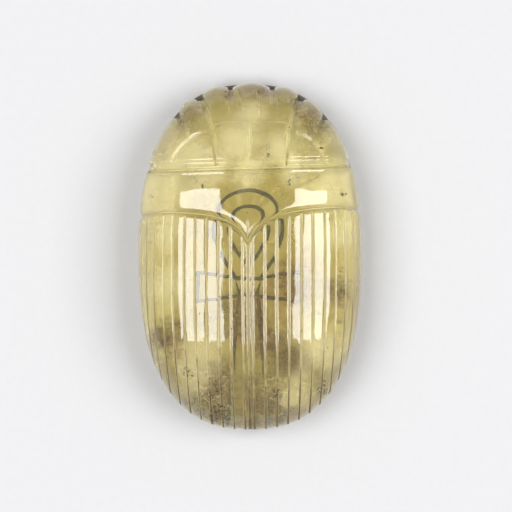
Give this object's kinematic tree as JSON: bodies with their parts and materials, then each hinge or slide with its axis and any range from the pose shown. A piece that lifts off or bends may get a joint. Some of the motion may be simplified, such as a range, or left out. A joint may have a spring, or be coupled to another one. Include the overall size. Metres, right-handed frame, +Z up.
{
  "type": "scarab amulet",
  "caption": "Oval beetle amulet of see-through yellow-green stone: lobed head, plain prothorax, ribbed wing cases, base plate with a looped cross cut in its underside.",
  "frame": {"origin": "middle of the flat underside", "axes": "+Z up through the back, +Y towards the head, +X to the right seen from above with the head away from the viewer"},
  "size_m": [0.0242, 0.0376, 0.0108],
  "materials": {
    "stone": "see-through yellow-green stone, polished on the back, with cloudy brown patches and dirt in the cuts"
  },
  "bodies": {
    "root": {"scarab": "stone"}
  },
  "joints": []
}
